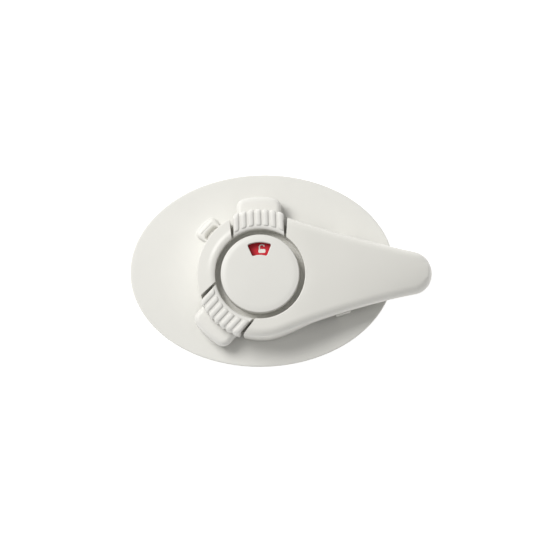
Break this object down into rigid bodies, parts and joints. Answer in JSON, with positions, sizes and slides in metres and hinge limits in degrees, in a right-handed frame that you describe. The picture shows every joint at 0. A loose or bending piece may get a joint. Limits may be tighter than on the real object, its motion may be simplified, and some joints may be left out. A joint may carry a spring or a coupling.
{
  "type": "appliance latch",
  "caption": "Stick-on child-safety latch: oval base, swinging lever arm with a ring hub, ribbed squeeze buttons and a round cap with a lock-status window.",
  "frame": {"origin": "on the hub axis, at the adhesive face that sticks to the appliance", "axes": "+Z out of the appliance along the hub axis, +X along the arm in its unlocked position, +Y towards the upper squeeze button"},
  "size_m": [0.1461, 0.0936, 0.025],
  "materials": {
    "shell_plastic": "satin",
    "base_plastic": "satin",
    "foam_tape": "matte",
    "acetal": "satin",
    "zinc_steel": "zinc plated",
    "spring_steel": "bright",
    "red_label": "satin",
    "green_label": "satin"
  },
  "bodies": {
    "base": {"adhesive_pad": "foam_tape", "base_plate": "base_plastic", "wave_washer": "spring_steel", "retainer_plate": "zinc_steel", "pivot_screw": "zinc_steel", "dial_cap": "shell_plastic"},
    "arm": {"swing_arm": "shell_plastic", "arm_cover": "shell_plastic", "cover_screw_1": "zinc_steel", "cover_screw_2": "zinc_steel", "hub_carrier": "acetal", "pivot_bush": "acetal", "carrier_screw_1": "zinc_steel", "carrier_screw_2": "zinc_steel", "carrier_screw_3": "zinc_steel", "indicator_disc": "acetal", "unlocked_label": "red_label", "locked_label": "green_label", "upper_spring": "spring_steel", "lower_spring": "spring_steel"},
    "upper_button": {"upper_button": "shell_plastic"},
    "lower_button": {"lower_button": "shell_plastic"}
  },
  "joints": [
    {"name": "arm_swing", "type": "hinge", "parent": "base", "child": "arm", "pos_m": [0, 0, 0], "axis": [0, 0, 1], "range_deg": [-90, 0]},
    {"name": "upper_squeeze", "type": "slide", "parent": "arm", "child": "upper_button", "axis": [0, -1, 0], "range_m": [-0.0015, 0.002], "stiffness_N_per_m": 500, "springref_m": -0.0035, "deforming": ["upper_spring"]},
    {"name": "lower_squeeze", "type": "slide", "parent": "arm", "child": "lower_button", "axis": [0.6884, 0.7254, 0], "range_m": [-0.0015, 0.002], "stiffness_N_per_m": 500, "springref_m": -0.0035, "deforming": ["lower_spring"]}
  ]
}
